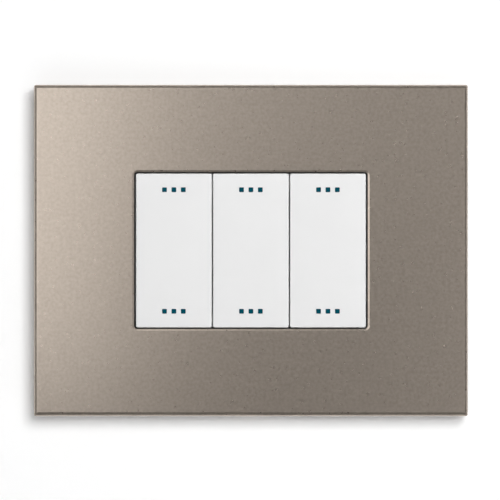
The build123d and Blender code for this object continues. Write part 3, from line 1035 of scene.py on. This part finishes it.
@dataclass
class TerminalScrews:
    """The three headless slotted clamp screws of a module; sizes are in millimetres.

    Attributes:
        places: Screws as (x from the module's middle, end).
        depth: Depth of the screws' axes.
        foot: Distance of a screw's foot from the module's middle.
        top: Distance of its slotted end.
        chamfer: Chamfer at both ends.
        slot_width: Width of the slot.
        slot_depth: Depth of the slot.
        segments: Points around a screw.
    """

    places: tuple[tuple[float, End], ...] = ((0.0, End.UPPER), (-6.0, End.LOWER), (6.0, End.LOWER))
    depth: float = 19.8
    foot: float = 13.95
    top: float = 18.8
    chamfer: float = 0.3
    slot_width: float = 0.8
    slot_depth: float = 1.13
    segments: int = 32

    def rings(self, thread: ScrewThread) -> list[list[Vector]]:
        """Gives one upper screw along Z.

        Args:
            thread: The screw's thread.

        Returns:
            The rings, from its foot to its top.
        """
        made = [thread.ring(thread.radius - thread.depth, self.foot, 0.0)]
        made += thread.rings(self.foot + self.chamfer, self.top - self.chamfer)
        made.append(thread.ring(thread.radius - self.chamfer, self.top, 0.0))
        return made

    def build(self, name: str) -> Object:
        """Builds the three screws about x = 0.

        Args:
            name: Name of the piece.

        Returns:
            The screws.
        """
        thread = ScrewThread(segments=self.segments)
        form = bmesh.new()
        slots = bmesh.new()
        half = self.slot_width / 2
        for x, end in self.places:
            aside = Vector((x, self.depth, 0))
            stand = Matrix.Diagonal((1, end.value, end.value))
            add_rings(form, [[stand @ point + aside for point in ring] for ring in self.rings(thread)])
            heights = (self.top - self.slot_depth, self.top + self.slot_depth)
            near, far = sorted(end.value * height for height in heights)
            wide = 2 * thread.radius
            add_box(slots, (x - wide, self.depth - half, near), (x + wide, self.depth + half, far))
        piece = make_piece(name, form)
        work(piece, make_piece("terminal_slots", slots), Cut.TAKE_AWAY)
        return piece


@dataclass
class SwitchModule:
    """One switch module with its rocker, blades and terminals.

    Attributes:
        side: Place of the module in the row.
    """

    side: Side

    def name(self, piece: str) -> str:
        """Gives a piece's name in this module."""
        return f"{piece}_{self.side.value}"

    def middle(self) -> float:
        """Gives the module's middle along X, in metres."""
        low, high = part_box(self.name("key"))
        return (low[0] + high[0]) / 2

    def settle(self, piece: Object) -> Object:
        """Moves a piece that was built about x = 0 to this module."""
        piece.data.transform(Matrix.Translation((self.middle(), 0.0, 0.0)))
        return piece

    def build_rocker(self) -> None:
        """Builds the key with its marks and dresses the carrier behind it."""
        key = RockerKey()
        rocker = self.name("rocker")
        cap = self.settle(key.cap(self.name("key_cap")))
        finish_piece(cap, KEY_PLASTIC, self.name("key"))
        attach(cap, rocker)
        marks = self.settle(key.marks(self.name("mark_inlays")))
        finish_piece(marks, MARK_PLASTIC, self.name("key_marks"))
        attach(marks, rocker)
        CARRIER_PLASTIC.dress(self.name("rocker_carrier"))

    def build_blades(self) -> None:
        """Builds the blades and their tips."""
        blades = ContactBlades()
        for end in End:
            word = end.name.lower()
            depth = blades.front * MM
            start = (self.middle(), depth, end.value * blades.root * MM)
            stop = (self.middle(), depth, end.value * blades.bend_end * MM)
            blade = self.settle(blades.blade(self.name(f"{word}_spring_blade"), end))
            finish_piece(blade, BLADE_METAL, self.name(f"{word}_blade"))
            tip = self.settle(blades.contact(self.name(f"{word}_contact_tip"), end))
            finish_piece(tip, TIP_METAL, self.name(f"{word}_contact"))
            for piece in (blade, tip):
                self.name("rocker")
                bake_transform(piece)

    def build_housing(self) -> None:
        """Dresses the housing and the terminals and builds the clamp screws."""
        FRONT_PLASTIC.dress(self.name("module_front"))
        BASE_PLASTIC.dress(self.name("module_base"))
        TIP_METAL.dress(self.name("fixed_contacts"))
        STRIP_METAL.dress(*(self.name(f"{kind}_terminal") for kind in ("upper", "lower", "common")))
        PLATED_METAL.dress(self.name("clamp_cages"))
        screws = self.settle(TerminalScrews().build(self.name("clamp_screws")))
        finish_piece(screws, PLATED_METAL, self.name("terminal_screws"))
        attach(screws, WALL_BODY)

    def build(self) -> None:
        """Builds and dresses the whole module."""
        self.build_rocker()
        self.build_blades()
        self.build_housing()


@dataclass(frozen=True)
class Panel:
    """A flat soft light.

    Attributes:
        name: Name of the light.
        place: Its middle, in metres.
        aim: Point that it faces.
        size: Width and height in metres.
        power: Power in watts.
        reach: Kinds of surface that it works on.
    """

    name: str
    place: tuple[float, float, float]
    aim: tuple[float, float, float]
    size: tuple[float, float]
    power: float
    reach: Reach = Reach.ALL

    def build(self) -> None:
        """Hangs the light."""
        lamp = bpy.data.lights.new(self.name, "AREA")
        lamp.shape = "RECTANGLE"
        lamp.size, lamp.size_y = self.size
        lamp.energy = self.power
        light = bpy.data.objects.new(self.name, lamp)
        light.location = self.place
        towards = Vector(self.aim) - Vector(self.place)
        light.rotation_euler = towards.to_track_quat("-Z", "Y").to_euler()
        light.visible_diffuse, light.visible_glossy = self.reach.value
        light.visible_camera = False
        bpy.context.scene.collection.objects.link(light)


@dataclass
class Studio:
    """White wall and floor, soft lights and the camera in front; lengths are in metres.

    Attributes:
        view_width: Width that the camera sees at the plate's face.
        view_middle: Middle of the view on the face, as (x, z).
        distance: Distance from the camera to the plate's face.
        face: Depth of the plate's face.
        sensor: Width of the camera's sensor in millimetres.
        wall_gap: How far the wall lies behind the plate's rim.
        reach: How far wall and floor extend.
        floor: Height of the floor.
        hole: Half width and half height of the opening behind the plate.
        room: Brightness of the room around.
        panels: The lights.
    """

    view_width: float = 0.1461
    view_middle: tuple[float, float] = (-0.00026, 0.00015)
    distance: float = 0.7
    face: float = -0.008
    sensor: float = 36.0
    wall_gap: float = 0.0002
    reach: float = 5.0
    floor: float = -0.5
    hole: tuple[float, float] = (0.0625, 0.0475)
    room: float = 0.2
    panels: tuple[Panel, ...] = (
        Panel("key_panel", (0.22, -0.8, 0.245), (0.0, 0.0, 0.0), (0.42, 0.44), 5.9, Reach.MATT),
        Panel("sheen_panel", (-0.255, -0.36, 0.14), (-0.255, 0.0, 0.14), (0.39, 0.42), 0.775, Reach.GLOSSY),
        Panel("veil_panel", (-0.02, -0.37, 0.24), (-0.02, 0.0, 0.24), (0.14, 0.42), 0.055, Reach.GLOSSY),
        Panel("side_panel", (0.66, -1.2, 0.1), (0.66, 0.0, 0.1), (1.08, 1.2), 1.47, Reach.GLOSSY),
        Panel("rear_panel", (-0.5, 0.8, 0.6), (0.0, 0.0, 0.0), (0.6, 0.6), 12.0),
        Panel("rear_side_panel", (0.7, 0.5, 0.35), (0.0, 0.0, 0.0), (0.5, 0.5), 5.0),
    )

    def sheet(
        self, name: str, corners: Iterable[Sequence[Sequence[float]]], paint: WallPaint, reach: Reach
    ) -> None:
        """Adds flat painted faces to the scene.

        Args:
            name: Name of the object.
            corners: Four corners of each face.
            paint: Paint of the faces.
            reach: Kinds of surface that the faces show in.
        """
        form = bmesh.new()
        for face in corners:
            form.faces.new([form.verts.new(corner) for corner in face])
        bmesh.ops.remove_doubles(form, verts=form.verts, dist=MICRON)
        mesh = bpy.data.meshes.new(name)
        form.to_mesh(mesh)
        form.free()
        mesh.materials.append(paint.material())
        made = bpy.data.objects.new(name, mesh)
        made.visible_diffuse, made.visible_glossy = reach.value
        made.visible_shadow = made.visible_diffuse
        bpy.context.scene.collection.objects.link(made)

    def build_wall(self) -> None:
        """Builds the wall, open behind the plate so that light reaches its back, and the floor."""
        columns = (-self.reach, -self.hole[0], self.hole[0], self.reach)
        rows = (self.floor, -self.hole[1], self.hole[1], self.reach)
        faces = []
        for left, right in zip(columns, columns[1:]):
            for low, high in zip(rows, rows[1:]):
                if (left, low) != (-self.hole[0], -self.hole[1]):
                    spots = ((left, low), (right, low), (right, high), (left, high))
                    faces.append([(x, self.wall_gap, z) for x, z in spots])
        self.sheet("wall", faces, WALL_PAINT, Reach.ALL)
        spots = ((-1, -1), (1, -1), (1, 1), (-1, 1))
        ground = [(x * self.reach, y * self.reach, self.floor) for x, y in spots]
        self.sheet("floor", [ground], FLOOR_PAINT, Reach.MATT)

    def build_backdrops(self) -> None:
        """Builds the white sheets around, which only the eye meets: the plate mirrors the dim room."""
        far, low = self.reach, self.floor
        spots = ((-far, low), (far, low), (far, far), (-far, far))
        left = [(-far, y, z) for y, z in spots]
        right = [(far, -y, z) for y, z in spots]
        front = [(-x, -far, z) for x, z in spots]
        self.sheet("backdrops", [left, right, front], FLOOR_PAINT, Reach.NONE)

    def build_room(self) -> None:
        """Gives the room an even soft glow."""
        world = bpy.data.worlds.new("room")
        world.use_nodes = True
        glow = next(node for node in world.node_tree.nodes if node.type == "BACKGROUND")
        feed(glow, {"Color": WHITE, "Strength": self.room})
        bpy.context.scene.world = world

    def build_camera(self) -> None:
        """Sets the camera straight in front, at the width of the view."""
        lens = bpy.data.cameras.new("camera")
        lens.sensor_width = self.sensor
        lens.lens = self.sensor * self.distance / self.view_width
        camera = bpy.data.objects.new("camera", lens)
        x, z = self.view_middle
        camera.location = (x, self.face - self.distance, z)
        camera.rotation_euler = (math.radians(90), 0.0, 0.0)
        bpy.context.scene.collection.objects.link(camera)
        bpy.context.scene.camera = camera

    def build(self) -> None:
        """Builds the stage, the lights and the camera."""
        self.build_wall()
        self.build_backdrops()
        self.build_room()
        self.build_camera()
        for panel in self.panels:
            panel.build()
        bpy.context.scene.view_settings.view_transform = "Standard"


def main() -> None:
    """Builds the sub-assemblies in order."""
    logging.basicConfig(level=logging.INFO, format="%(name)s: %(message)s")
    CoverPlate().build()
    SupportFrame().build()
    FixingScrews().build()
    for side in Side:
        SwitchModule(side).build()
    Studio().build()


if __name__ == "__main__":
    main()
